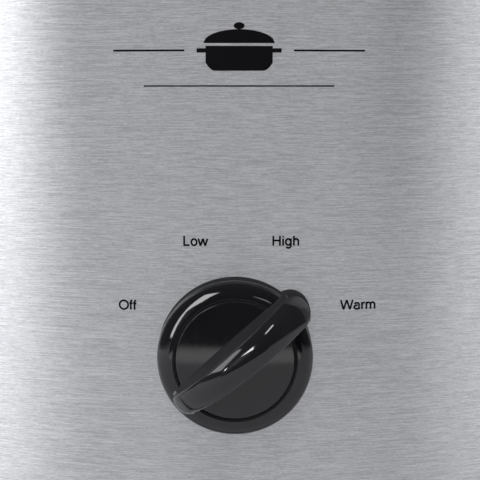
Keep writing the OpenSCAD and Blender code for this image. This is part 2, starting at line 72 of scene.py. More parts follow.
wrap_low, wrap_high = box_mm("outer_wrap")
shaft_low, shaft_high = box_mm("switch_shaft")
knob_low = box_mm("control_knob")[0]
ring_low = box_mm("base_ring")[0]
well_low, well_high = box_mm("heating_well")
crock_low, crock_high = box_mm("crock")
glass_low, glass_high = box_mm("lid_glass")
lid_knob_low, lid_knob_high = box_mm("lid_knob")
handle_low, handle_high = box_mm("side_handle_right")

body_y = (wrap_low.y + wrap_high.y) / 2
wrap_length = wrap_high.x - wrap_low.x
wrap_width = wrap_high.y - wrap_low.y
front = wrap_low.y
knob_z = (shaft_low.z + shaft_high.z) / 2

# The oval's four arcs: their centres are the corners of a 3-4-5 triangle and its mirror images
oval_step = (wrap_length - wrap_width) / 4
end_x = 3 * oval_step
side_y = 4 * oval_step
end_r = wrap_width / 2 - oval_step
side_r = end_r + 5 * oval_step
corner_angle = atan2(side_y, end_x)


# ---- Mesh helpers ----

def oval_angles(steps=64):
    """Angles around the whole oval, with the same number of steps on each of its four arcs."""
    starts = [-corner_angle, corner_angle, pi - corner_angle, pi + corner_angle]
    ends = starts[1:] + [2 * pi - corner_angle]
    return [a + (b - a) * i / steps for a, b in zip(starts, ends) for i in range(steps)]


def oval_point(u, angle):
    """The point at an offset from the wrap's outer face, where the outline's normal has that angle."""
    c, s = cos(angle), sin(angle)
    if abs(s) <= sin(corner_angle):
        return copysign(end_x, c) + (end_r + u) * c, body_y + (end_r + u) * s
    return (side_r + u) * c, body_y - copysign(side_y, s) + (side_r + u) * s


def fillet(points, steps=6):
    """A closed outline of (x, y, radius) corners, with each corner rounded to its radius."""
    nearly_straight, most_of_side = radians(89), 0.49
    outline = []
    for i, (x, y, r) in enumerate(points):
        before, after = points[i - 1], points[(i + 1) % len(points)]
        a = Vector((before[0] - x, before[1] - y))
        b = Vector((after[0] - x, after[1] - y))
        if r <= 0 or a.length == 0 or b.length == 0:
            outline.append((x, y))
            continue
        a_unit, b_unit = a.normalized(), b.normalized()
        half = acos(max(-1, min(1, a_unit.dot(b_unit)))) / 2
        if half > nearly_straight:
            outline.append((x, y))
            continue
        reach = min(r / tan(half), most_of_side * a.length, most_of_side * b.length)
        r = reach * tan(half)
        middle = Vector((x, y)) + (a_unit + b_unit).normalized() * (r / sin(half))
        start = Vector((x, y)) + a_unit * reach - middle
        finish = Vector((x, y)) + b_unit * reach - middle
        turn = atan2(start.x * finish.y - start.y * finish.x, start.dot(finish))
        for k in range(steps + 1):
            t = turn * k / steps
            outline.append((middle.x + start.x * cos(t) - start.y * sin(t),
                            middle.y + start.x * sin(t) + start.y * cos(t)))
    return outline


def grid_faces(rows, columns, close_rows=True, close_columns=True):
    """Quads between rows of points, each row as long as columns."""
    faces = []
    for i in range(rows if close_rows else rows - 1):
        for j in range(columns if close_columns else columns - 1):
            k, m = (i + 1) % rows, (j + 1) % columns
            faces.append((i * columns + j, k * columns + j, k * columns + m, i * columns + m))
    return faces


def piece(name, body, slot, parts, stands_for=(), sharp=38, place=None):
    """One object from (points, faces) parts in millimetres, on its body and with its slot's material.

    Edges that bend by more than the sharp angle, in degrees, stay crisp.
    """
    mesh = bpy.data.meshes.new(name)
    points, faces = [], []
    for part_points, part_faces in parts:
        start = len(points)
        points += [Vector(p) * MM for p in part_points]
        faces += [tuple(start + i for i in face) for face in part_faces]
    mesh.from_pydata(points, [], faces)
    work = bmesh.new()
    work.from_mesh(mesh)
    bmesh.ops.remove_doubles(work, verts=work.verts, dist=WELD_DISTANCE)
    bmesh.ops.dissolve_degenerate(work, edges=work.edges, dist=SLIVER_LENGTH)
    bmesh.ops.recalc_face_normals(work, faces=work.faces)
    work.to_mesh(mesh)
    work.free()
    if place:
        mesh.transform(place)
    mesh.polygons.foreach_set("use_smooth", [True] * len(mesh.polygons))
    mesh.set_sharp_from_angle(angle=radians(sharp))
    made = bpy.data.objects.new(name, mesh)
    bpy.context.scene.collection.objects.link(made)
    mesh.materials.append(materials[slot])
    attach(made, body)
    if stands_for:
        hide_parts(*stands_for)
    return made


def carry(profiles, angles, filled=False):
    """Profiles of (offset, height), one at each angle: closed loops, or lines whose ends are filled."""
    columns = len(profiles[0])
    points = [(*oval_point(u, a), z) for a, profile in zip(angles, profiles) for u, z in profile]
    faces = grid_faces(len(angles), columns, close_columns=not filled)
    if filled:
        faces += [tuple(range(end, len(points), columns)) for end in (0, columns - 1)]
    return points, faces


def sweep(profile, filled=False):
    """One profile of (offset, height) carried around the whole oval."""
    angles = oval_angles()
    return carry([profile] * len(angles), angles, filled)


def revolve(profile, steps=96, centre=(0, 0)):
    """A closed profile of (radius, height) turned around an upright axis."""
    x, y = centre
    points = [(x + r * cos(2 * pi * i / steps), y + r * sin(2 * pi * i / steps), z)
              for i in range(steps) for r, z in profile]
    return points, grid_faces(steps, len(profile))


def arc(x, y, r, start, end, steps=8):
    """Points on a circle between two angles in degrees."""
    return [(x + r * cos(radians(start + (end - start) * i / steps)),
             y + r * sin(radians(start + (end - start) * i / steps))) for i in range(steps + 1)]


def smooth_step(low, high, x):
    t = max(0.0, min(1.0, (x - low) / (high - low)))
    return t * t * (3 - 2 * t)


# ---- Materials ----

NOISE_RANGE = (0.3, 0.7)   # where nearly all values of a noise lie


class Finish:
    """A Principled material, with short ways to add procedural detail to it."""

    def __init__(self, name, colour, roughness, **constants):
        self.material = bpy.data.materials.new(name)
        self.material.use_nodes = True
        self.nodes = self.material.node_tree.nodes
        self.links = self.material.node_tree.links
        self.shader = self.nodes["Principled BSDF"]
        self.shader.inputs["Base Color"].default_value = (*colour, 1)
        self.shader.inputs["Roughness"].default_value = roughness
        for socket, value in constants.items():
            self.shader.inputs[socket.replace("_", " ")].default_value = value
        self.space = self.nodes.new("ShaderNodeTexCoord").outputs["Object"]

    def noise(self, scale, detail=2.0, stretch=(1, 1, 1)):
        """Noise in the object's own space, in features per metre. Stretch multiplies each axis."""
        mapping = self.nodes.new("ShaderNodeMapping")
        mapping.inputs["Scale"].default_value = stretch
        self.links.new(self.space, mapping.inputs["Vector"])
        texture = self.nodes.new("ShaderNodeTexNoise")
        texture.inputs["Scale"].default_value = scale
        texture.inputs["Detail"].default_value = detail
        self.links.new(mapping.outputs["Vector"], texture.inputs["Vector"])
        return texture.outputs["Fac"]

    def cells(self, scale):
        texture = self.nodes.new("ShaderNodeTexVoronoi")
        texture.inputs["Scale"].default_value = scale
        self.links.new(self.space, texture.inputs["Vector"])
        return texture.outputs["Distance"]

    def blend(self, a, b, share=0.5):
        """A weighted sum of two values."""
        mix = self.nodes.new("ShaderNodeMix")
        mix.inputs["Factor"].default_value = share
        self.links.new(a, mix.inputs["A"])
        self.links.new(b, mix.inputs["B"])
        return mix.outputs["Result"]

    def spread(self, value, low, high, window=NOISE_RANGE):
        """Takes the middle of a noise value to the range from low to high."""
        node = self.nodes.new("ShaderNodeMapRange")
        set_range(node, window, (low, high))
        self.links.new(value, node.inputs["Value"])
        return node.outputs["Result"]

    def tint(self, value, dark, light, window=NOISE_RANGE):
        """Colours the surface between two colours by a value."""
        mix = self.nodes.new("ShaderNodeMix")
        mix.data_type = "RGBA"
        self.links.new(self.spread(value, 0, 1, window), mix.inputs["Factor"])
        mix.inputs["A"].default_value = (*dark, 1)
        mix.inputs["B"].default_value = (*light, 1)
        colour_result = 2
        self.links.new(mix.outputs[colour_result], self.shader.inputs["Base Color"])
        return self

    def shine(self, value, low, high, window=NOISE_RANGE):
        """Varies the roughness by a value."""
        self.links.new(self.spread(value, low, high, window), self.shader.inputs["Roughness"])
        return self

    def relief(self, value, depth_mm, strength=1.0):
        """Raises the surface by a value, to a depth in millimetres."""
        bump = self.nodes.new("ShaderNodeBump")
        bump.inputs["Strength"].default_value = strength
        bump.inputs["Distance"].default_value = depth_mm * MM
        self.links.new(value, bump.inputs["Height"])
        self.links.new(bump.outputs["Normal"], self.shader.inputs["Normal"])
        return self


def set_range(node, source, target):
    for socket, number in zip(("From Min", "From Max", "To Min", "To Max"), (*source, *target)):
        node.inputs[socket].default_value = number


def shade(colour, factor):
    return tuple(min(1.0, c * factor) for c in colour)


def brushed_steel():
    """Stainless sheet brushed along its length: fine lines of three lengths, level around the wrap."""
    steel, roughness, contrast = (0.63, 0.635, 0.655), 0.4, 0.2
    lines_per_metre, lengths_per_metre = 7000, (1000, 300, 90)
    finish = Finish("wrap_steel", steel, roughness,
                    Metallic=0.75, Anisotropic=1, Anisotropic_Rotation=0.25)
    tangent = finish.nodes.new("ShaderNodeTangent")
    tangent.direction_type = "RADIAL"
    tangent.axis = "Z"
    finish.links.new(tangent.outputs["Tangent"], finish.shader.inputs["Tangent"])
    short, middle, long = [finish.noise(scale, 0, (1, 1, lines_per_metre / scale))
                           for scale in lengths_per_metre]
    lines = finish.blend(finish.blend(short, middle, 0.55), long, 0.38)
    finish.tint(lines, shade(steel, 1 - contrast), shade(steel, 1 + contrast), (0.39, 0.61))
    finish.shine(finish.noise(70, 2, (1, 1, 22)), roughness - 0.02, roughness + 0.03)
    finish.relief(middle, 0.004, 0.4)
    return finish.material


def plain_metal(name, colour, roughness, grain):
    """Plated or bare metal with a faint mottled grain."""
    finish = Finish(name, colour, roughness, Metallic=1)
    grit = finish.noise(grain, 4)
    finish.tint(finish.noise(90, 3), shade(colour, 0.82), shade(colour, 1.1))
    finish.shine(grit, roughness - 0.07, roughness + 0.1)
    finish.relief(grit, 0.02, 0.5)
    return finish.material


def moulded_plastic(name, colour, roughness, texture, depth, level):
    """Moulded plastic or rubber with a fine spark-eroded texture."""
    finish = Finish(name, colour, roughness, Specular_IOR_Level=level)
    grain = finish.blend(finish.noise(texture, 3), finish.cells(0.8 * texture), 0.4)
    finish.tint(finish.noise(25, 4), shade(colour, 0.85), shade(colour, 1.25))
    finish.shine(finish.noise(120, 3), roughness - 0.05, roughness + 0.07)
    finish.relief(grain, depth, 0.6)
    return finish.material


def polished_black():
    """Polished phenolic: near mirror gloss with the slightest waviness and hairline wear."""
    colour = (0.0046, 0.0046, 0.0056)
    finish = Finish("gloss_black", colour, 0.1, Specular_IOR_Level=0.42)
    finish.tint(finish.noise(40, 3), shade(colour, 0.8), shade(colour, 1.3))
    finish.shine(finish.noise(700, 2, (1, 0.25, 1)), 0.06, 0.1)
    finish.relief(finish.noise(110, 2), 0.01, 0.25)
    return finish.material


def glaze():
    """Glossy black stoneware glaze: a soft orange-peel surface with a few faint specks."""
    colour = (0.013, 0.013, 0.0145)
    finish = Finish("stoneware", colour, 0.12, Coat_Weight=0.6, Coat_Roughness=0.04)
    finish.tint(finish.noise(1800, 1), colour, shade(colour, 3.5), (0.62, 0.8))
    finish.shine(finish.noise(60, 3), 0.08, 0.2)
    finish.relief(finish.noise(150, 2), 0.06, 0.35)
    return finish.material


def enamel():
    """The liner's dark grey coating."""
    colour = (0.09, 0.09, 0.095)
    finish = Finish("well_steel", colour, 0.34, Metallic=0.5)
    finish.tint(finish.noise(70, 4), shade(colour, 0.8), shade(colour, 1.25))
    finish.shine(finish.noise(300, 3), 0.26, 0.42)
    finish.relief(finish.noise(700, 2), 0.03, 0.4)
    return finish.material


def clear_glass():
    """Tempered glass with a slight green cast and the faint waviness of pressing."""
    finish = Finish("lid_glass", (0.9, 0.965, 0.945), 0.0, Transmission_Weight=1, IOR=1.5)
    finish.relief(finish.noise(28, 2), 0.12, 0.12)
    finish.shine(finish.noise(200, 2), 0.0, 0.03)
    return finish.material


def printed_ink():
    """Matte black screen print."""
    finish = Finish("print_black", (0.003, 0.003, 0.004), 0.5, Specular_IOR_Level=0.1)
    finish.shine(finish.noise(1500, 2), 0.45, 0.6)
    return finish.material


METALS = {   # colour, roughness, and grain in features per metre
    "plated_steel": ((0.62, 0.62, 0.63), 0.34, 900),
    "shield_aluminium": ((0.8, 0.8, 0.81), 0.3, 600),
    "brass": ((0.74, 0.55, 0.25), 0.3, 900),
    "heater_foil": ((0.72, 0.62, 0.4), 0.38, 300),
}
PLASTICS = {   # colour, roughness, texture in features per metre, its depth in mm, specular level
    "black_plastic": ((0.014, 0.014, 0.015), 0.42, 1400, 0.04, 0.5),
    "dull_black": ((0.006, 0.006, 0.007), 0.6, 1400, 0.04, 0.1),
    "foot_rubber": ((0.03, 0.03, 0.03), 0.75, 900, 0.05, 0.3),
    "switch_plastic": ((0.72, 0.66, 0.5), 0.5, 1400, 0.04, 0.5),
    "phenolic": ((0.3, 0.16, 0.07), 0.5, 600, 0.04, 0.5),
    "block_plastic": ((0.8, 0.8, 0.76), 0.45, 1400, 0.04, 0.5),
    "seal_silicone": ((0.07, 0.07, 0.07), 0.6, 1400, 0.04, 0.5),
    "wire_black": ((0.015, 0.015, 0.015), 0.5, 1400, 0.04, 0.5),
    "wire_red": ((0.5, 0.03, 0.02), 0.5, 1400, 0.04, 0.5),
    "wire_blue": ((0.03, 0.08, 0.42), 0.5, 1400, 0.04, 0.5),
    "wire_orange": ((0.75, 0.22, 0.02), 0.5, 1400, 0.04, 0.5),
    "wire_white": ((0.75, 0.75, 0.72), 0.5, 1400, 0.04, 0.5),
}
materials = {
    "wrap_steel": brushed_steel(),
    "well_steel": enamel(),
    "gloss_black": polished_black(),
    "stoneware": glaze(),
    "lid_glass": clear_glass(),
    "ink": printed_ink(),
}
materials.update({name: plain_metal(name, *look) for name, look in METALS.items()})
materials.update({name: moulded_plastic(name, *look) for name, look in PLASTICS.items()})


# ---- Housing. Offsets are from the wrap's outer face, and negative inwards. ----

WELL_GAP = 15          # between the wrap's outer face and the well's, at the top
WELL_DRAFT = 0.09      # how far the well's wall leans out for each unit of height
FLOOR_EDGE = -62       # offset where the level floor of a cup begins
FLOOR_MIDDLE = -108    # offset of the oval that fills the middle of that floor


def outer_wrap():
    """The steel band, with softly rolled edges."""
    low, high = wrap_low.z, wrap_high.z
    inner_r, outer_r = 0.3, 0.38
    profile = fillet([(-SHEET, low, inner_r), (0, low, outer_r),
                      (0, high, outer_r), (-SHEET, high, inner_r)], 4)
    return piece("outer_wrap_shell", "housing", "wrap_steel", [sweep(profile)], ["outer_wrap"])


def well_offset(z):
    """Offset of the well's outer face, which leans outwards as it rises."""
    return -WELL_GAP - (wrap_high.z - z) * WELL_DRAFT


def cup_side(shift, floor_z, radius, top_z, steps=10):
    """One side of a leaning cup, from its level floor through a rounded corner up to its top."""
    z = floor_z + radius
    lean = atan(WELL_DRAFT)
    corner = arc(well_offset(z) + shift - radius / cos(lean), z, radius, -90, -degrees(lean), steps)
    floor = [(FLOOR_MIDDLE, floor_z), (FLOOR_EDGE, floor_z)]
    return floor + corner + [(well_offset(top_z) + shift, top_z)]


def heating_well():
    """The liner: a thin cup whose rim rolls over the wrap's top edge."""
    floor, top, rim = well_low.z, wrap_high.z, well_high.z
    corner_r, rim_r = 20, 2
    hem, hem_inside, hem_outside = 7, 0.15, 1.6
    outside = cup_side(0, floor, corner_r + SHEET, top)
    inside = cup_side(-SHEET, floor + SHEET, corner_r, top - SHEET / 2)
    roll = [(hem_inside, top), (hem_inside, top - hem), (hem_outside, top - hem)]
    roll += arc(hem_outside - rim_r, top, rim_r, 0, 90, 10)
    shoulder = arc(-13, rim - rim_r, rim_r, 90, 165, 8)
    profile = outside + roll + shoulder + inside[::-1]
    return piece("heating_well_liner", "housing", "well_steel", [sweep(profile, filled=True)],
                 ["heating_well"])


def base_ring():
    """The moulded base: a rounded foot, a lip around the wrap, an inner wall and the plate's ledge."""
    low, floor = ring_low.z, ring_low.z + 3
    lip, slot_floor, wall_top = wrap_low.z + 2, wrap_low.z - 0.1, wrap_low.z + 10
    proud, slot_outside, slot_inside, wall = wrap_low.x - ring_low.x, 0.05, -0.95, -3.2
    opening, ledge_outside, ledge_inside = -30, -27, -41
    profile = fillet([
        (opening, low, 0.5), (proud, low, 5.6), (proud, lip, 0.5), (slot_outside, lip, 0.2),
        (slot_outside, slot_floor, 0), (slot_inside, slot_floor, 0), (slot_inside, wall_top, 0.4),
        (wall, wall_top, 0.5), (wall, floor, 2), (ledge_outside, floor, 1),
        (ledge_outside, floor + 3.5, 0.5), (ledge_inside, floor + 3.5, 0.5), (ledge_inside, floor + 1, 0.3),
        (opening, floor + 1, 0.1)
    ], 8)
    return piece("base_ring_moulding", "housing", "black_plastic", [sweep(profile)], ["base_ring"])


def loop_point(u, angle_deg):
    """The point at an offset and an angle on the arc of the body's right end."""
    angle = radians(angle_deg)
    return end_x + (end_r + u) * cos(angle), body_y + (end_r + u) * sin(angle)


def handle_loop(inner_u, outer_u, half_deg, inner_corner, outer_corner, steps=10, count=28):
    """A closed loop of (offset, angle) around the body's end, with rounded corners."""
    def corner(u, deg, r, inward):
        scale = degrees(1 / (end_r + u))
        turn = copysign(1, deg)
        points = []
        for k in range(steps + 1):
            t = pi / 2 * k / steps
            along, out = r * (1 - cos(t)), r * (1 - sin(t))
            points.append((u + inward * out, deg - turn * along * scale))
        return points

    loop = []
    for u, deg, r, inward in ((outer_u, half_deg, outer_corner, -1),
                              (inner_u, -half_deg, inner_corner, 1)):
        loop += corner(u, deg, r, inward)
        span = loop[-1][1]
        loop += [(u, span * (1 - 2 * k / count)) for k in range(1, count)]
        loop += corner(u, -deg, r, inward)[::-1]
    return loop


def side_handle(name, node, mirror):
    """A D-shaped grip: a thin pad on the wrap, two posts and a full, well rounded bar."""
    reach = handle_high.x - wrap_high.x
    low, high = handle_low.z, handle_high.z
    bar, post_length, bend = 13, 5, 7
    pad_round, bar_round, inner_round = 1.3, 4.9, 4.5
    outer = handle_loop(0.05, reach, half_deg=28, inner_corner=1.5, outer_corner=15)
    inner = handle_loop(post_length, reach - bar, half_deg=20.5, inner_corner=3, outer_corner=8)
    count = len(outer)

    def place(loop):
        return [Vector((*loop_point(u, deg), 0)) for u, deg in loop]

    def normals(points):
        steps = [points[(i + 1) % count] - points[i - 1] for i in range(count)]
        return [Vector((step.y, -step.x, 0)).normalized() for step in steps]

    def edge(point, outward, r, turns):
        return [point - outward * r * (1 - cos(t)) + Vector((0, 0, high - r + r * sin(t)))
                for t in turns]

    out_points, in_points = place(outer), place(inner)
    out_normals, in_normals = normals(out_points), normals(in_points)
    sign = 1 if out_normals[count // 4].x > 0 else -1
    turns = [pi / 2 * k / bend for k in range(bend + 1)]
    points = []
    for i in range(count):
        r_out = pad_round + bar_round * smooth_step(2, 24, outer[i][0])
        r_in = pad_round + inner_round * smooth_step(6, 22, inner[i][0])
        upper = edge(out_points[i], sign * out_normals[i], r_out, turns)
        upper += edge(in_points[i], -sign * in_normals[i], r_in, turns[::-1])
        points += upper + [Vector((p.x, p.y, low + high - p.z)) for p in upper[::-1]]
    if mirror:
        points = [Vector((-p.x, p.y, p.z)) for p in points]
    faces = grid_faces(count, 4 * len(turns))
    return piece(name, "housing", "black_plastic", [(points, faces)], [node])


def rubber_feet():
    """Four feet, each with a soft lower edge, a hollow sole and a barbed stud that holds it."""
    low, high = box_mm("rubber_feet")
    r, stud_r, barb_r, tip_r, axis = 11, 4, 5.2, 3.5, 0.01
    hollow, shoulder, barb, tip = 0.6, 5, 8, 10
    x, y = high.x - r, (high.y - low.y) / 2 - r
    profile = fillet([
        (axis, hollow, 0), (5, hollow, 0.4), (6, 0, 0.4), (r - 0.6, 0, 1.4), (r, shoulder, 0.3),
        (stud_r, shoulder, 0.2), (stud_r, barb, 0.1), (barb_r, barb, 0.3), (tip_r, tip, 0.4),
        (axis, tip, 0)
    ], 5)
    parts = [revolve(profile, 48, (sx * x, body_y + sy * y)) for sx in (-1, 1) for sy in (-1, 1)]
    return piece("rubber_feet_moulded", "housing", "foot_rubber", parts, ["rubber_feet"])


# ---- Control knob. Its own space has X to the right, Y up and Z out of the wrap. ----

knob_space = Matrix(((1, 0, 0, 0), (0, 0, -1, front * MM), (0, 1, 0, knob_z * MM), (0, 0, 0, 1)))
pointer_turn = 50   # degrees clockwise from straight up
blade_space = knob_space @ Matrix.Rotation(radians(90 - pointer_turn), 4, "Z")   # X along the pointer
skirt_r = 23
knob_reach = front - knob_low.y
disc_z = 12


def knob_dish():
    """Skirt with an upright wall and a rounded ring, a fine groove, and the flat disc inside it."""
    groove_r, groove_depth, axis = 17.6, 0.9, 0.02
    wall_r, wall_top = skirt_r - 0.12, 8.0
    crest_r, crown = 16.6, disc_z + 0.4
    lip_low, lip_high, wall_foot = 1, 1.3, 1.45
    flange, hollow_z, roof_z = 1.6, 4, disc_z - 2
    ring = [(crest_r + (wall_r - crest_r) * cos(radians(a)),
             wall_top + (crown - wall_top) * sin(radians(a))) for a in range(0, 76, 3)]
    foot = [(skirt_r - flange, lip_low), (skirt_r, lip_low), (skirt_r, lip_high), (wall_r, wall_foot)]
    profile = foot + ring + fillet([
        (groove_r + 0.2, crown - 0.1, 0.08), (groove_r + 0.05, disc_z - groove_depth, 0.1),
        (groove_r - 0.35, disc_z - groove_depth, 0.1), (groove_r - 0.45, disc_z, 0.2), (axis, disc_z, 0),
        (axis, roof_z, 0), (groove_r - 1, roof_z, 0.5), (skirt_r - flange, hollow_z, 0.5)
    ], 4)
    made = piece("control_knob_dish", "control", "gloss_black", [revolve(profile, 192)],
                 ["control_knob"], sharp=30, place=blade_space)

    def dull_side_and_groove_shade(centre, _):
        r = hypot(centre.x, centre.y)
        side = r > wall_r - 0.05 and wall_foot + 0.05 < centre.z < wall_top
        # Painted shade: the groove and the lip beside it take dull black, which stands in for the shadow
        # inside the groove and draws it as a thin dark line.
        groove = groove_r - 0.42 < r < groove_r + 0.12 and centre.z < disc_z - 0.15
        groove_lip = 0 < r - groove_r < 0.5
        return side or groove or groove_lip

    dull_faces(made, dull_side_and_groove_shade)
    return made


def dull_faces(made, chosen):
    """Gives dull black to the faces chosen by their centre and normal in blade space: a matte finish on
    sides and walls, and painted shade in the dish's groove.
    """
    made.data.materials.append(materials["dull_black"])
    turn = blade_space.inverted()
    for face in made.data.polygons:
        normal = (turn.to_3x3() @ face.normal).normalized()
        face.material_index = int(chosen(turn @ face.center / MM, normal))


def knob_grip():
    """The arched grip: a narrow strip from the front, a half-moon from the side, with rounded rims."""
    nose_r, tail_r = 4.9, 3.7
    nose, tail = 26.9 - nose_r, -23 + tail_r
    arch_r, arch_x, crest = 26, 2, knob_reach
    crown, draft, base_z = 2.4, 1.2, 2.2
    nose_rim, tail_rim = 0.45, 1.75
    low_tip, high_tip = tail - tail_r, nose + nose_r
    middle, half = (low_tip + high_tip) / 2, (high_tip - low_tip) / 2
    stations, across, wall = 150, 64, 8

    def half_width(s):
        if s < tail:
            return sqrt(max(0, tail_r ** 2 - (s - tail) ** 2))
        if s > nose:
            return sqrt(max(0, nose_r ** 2 - (s - nose) ** 2))
        return tail_r + (nose_r - tail_r) * (s - tail) / (nose - tail)

    def depth_inside(s, t):
        if s < tail:
            return tail_r - hypot(s - tail, t)
        if s > nose:
            return nose_r - hypot(s - nose, t)
        return half_width(s) - abs(t)

    def height(s, t):
        arch = crest - arch_r + sqrt(max(0, arch_r ** 2 - (s - arch_x) ** 2))
        rim = nose_rim + (tail_rim - nose_rim) * smooth_step(-8, -20, s)
        inside = min(rim, max(0, depth_inside(s, t)))
        drop = rim - sqrt(max(0, rim ** 2 - (rim - inside) ** 2))
        return arch - crown * (t / nose_r) ** 2 - drop

    points = []
    just_inside = 0.99999
    for i in range(stations + 1):
        s = middle + half * sin(pi * (i / stations - 0.5)) * just_inside
        w = half_width(s)
        lean = draft * sqrt(max(0, 1 - ((s - middle) / half) ** 2))
        edge = height(s, w)
        side = []
        for k in range(wall):
            z = base_z + (edge - base_z) * k / wall
            share = max(0, min(1, (edge - z) / max(0.1, edge - disc_z)))
            side.append((w + lean * share, z))
        cap = [w * sin(pi / 2 * (2 * j / across - 1)) for j in range(across + 1)]
        points += [(s, -t, z) for t, z in side]
        points += [(s, t, height(s, t)) for t in cap]
        points += [(s, t, z) for t, z in side[::-1]]
    columns = 2 * wall + across + 1
    faces = grid_faces(stations + 1, columns, close_rows=False)
    faces += [tuple(range(columns)), tuple(stations * columns + j for j in range(columns))]
    made = piece("control_knob_grip", "control", "gloss_black", [(points, faces)],
                 sharp=40, place=blade_space)
    dull_faces(made, lambda _, normal: abs(normal.z) < 0.3)
    return made


# ---- Crock and lid ----

def crock():
    """The stoneware pot: thick leaning walls, a rounded rim with a lid seat, and a lug at each end."""
    gap, wall, floor_thickness = 2.6, 6.5, 7
    rim_low, top, seat, floor = 186, crock_high.z, glass_low.z, crock_low.z
    flange, lug_reach = 1, crock_high.x - wrap_high.x
    lug_full, lug_gone = 20, 27.5
    under_r, upper_r = 4, 4.6
    angles = oval_angles(72)
    outside = cup_side(-gap, floor, 18.5, rim_low - 2)
    inside = cup_side(-gap - wall, floor + floor_thickness, 22, seat - 2)
    under = [(well_offset(rim_low) + 1, rim_low + 0.2)]
    ledge = fillet([(-5.2, top, 0.8), (-8.3, seat, 0.8), (well_offset(seat) - gap - 4, seat, 2)], 5)
    profiles = []
    for angle in angles:
        off_axis = abs(degrees(atan2(sin(angle), abs(cos(angle)))))
        out = flange + (lug_reach - flange) * smooth_step(lug_gone, lug_full, off_axis)
        rim = arc(out - under_r, rim_low + 1.2 + under_r, under_r, -90, 0, 8)
        rim += arc(out - upper_r, top - upper_r, upper_r, 0, 90, 10)
        profiles.append(outside + under + rim + ledge + inside[::-1])
    return piece("crock_pot", "crock", "stoneware", [carry(profiles, angles, filled=True)], ["crock"])


def lid_glass():
    """The domed lid: a flat rim, a rounded shoulder and a dome with a hole for the knob's screw."""
    seat, top, glass = glass_low.z, glass_high.z, 4
    rise = top - seat - glass
    rim_u, dome_u, hole, edge_r = -9.5, -21, 4, 1.9
    fullness, shoulder = 2.3, 0.8
    angles = oval_angles(48)
    rings = 40

    def row(share, height, shrink=0.0):
        """A closed row of points, that share of the way from the hole to the dome's edge."""
        points = []
        for angle in angles:
            ox, oy = oval_point(dome_u - shrink, angle)
            polar = atan2(oy - body_y, ox)
            cx, cy = hole * cos(polar), body_y + hole * sin(polar)
            points.append((cx + (ox - cx) * share, cy + (oy - cy) * share, height))
        return points

    def level(share):
        return rise * (1 - share ** fullness) ** shoulder

    shares = [sin(pi / 2 * i / rings) for i in range(rings + 1)]
    edge = [(dome_u + 1.5, seat + glass)]
    edge += arc(rim_u - edge_r, seat + glass - edge_r, edge_r, 90, 0, 6)
    edge += arc(rim_u - edge_r, seat + edge_r, edge_r, 0, -90, 6)
    edge += [(dome_u + 3, seat)]
    rows = [row(share, seat + glass + level(share)) for share in shares]
    rows += [[(*oval_point(u, a), z) for a in angles] for u, z in edge]
    rows += [row(share, seat + level(share), 1.5) for share in shares[::-1]]
    points = [p for r in rows for p in r]
    faces = grid_faces(len(rows), len(angles))
    return piece("lid_glass_dome", "lid", "lid_glass", [(points, faces)], ["lid_glass"])


def lid_knob():
    """A turned knob with a waisted neck and a shallow dish in its top."""
    low, high = lid_knob_low.z, lid_knob_high.z
    bore_r, foot_r, neck_r, head_r, axis = 2.6, 17, 11, 22, 0.02
    bore_top = low + 14
    profile = fillet([
        (bore_r, low, 0), (foot_r, low, 0.6), (foot_r, low + 1.8, 0.8), (12.2, low + 4.6, 3),
        (neck_r, low + 9, 5), (16, low + 13.6, 3), (head_r, low + 15.6, 2.2), (head_r, high - 2.4, 2.4),
        (16, high, 3), (9, high - 0.9, 5), (axis, high - 1.2, 0), (axis, bore_top, 0), (bore_r, bore_top, 0)
    ], 10)
    return piece("lid_knob_turned", "lid", "gloss_black", [revolve(profile, 128, (0, body_y))],
                 ["lid_knob"])


# ---- Print on the wrap ----

INK_BACK, INK_FACE = 0.005, 0.03   # how far the print's two sides stand off the wrap
STROKE = 0.19                      # the letters' weight, in capital heights


def on_wrap(x, z, proud):
    """The point of the wrap's front that is straight behind (x, z)."""
    return x, body_y + side_y - sqrt((side_r + proud) ** 2 - x * x), z


def bow(x, z, rx, rz, start, end, steps=14):
    """Points along part of an ellipse, with angles in degrees."""
    angles = [radians(start + (end - start) * i / steps) for i in range(steps + 1)]
    return [(x + rx * cos(a), z + rz * sin(a)) for a in angles]


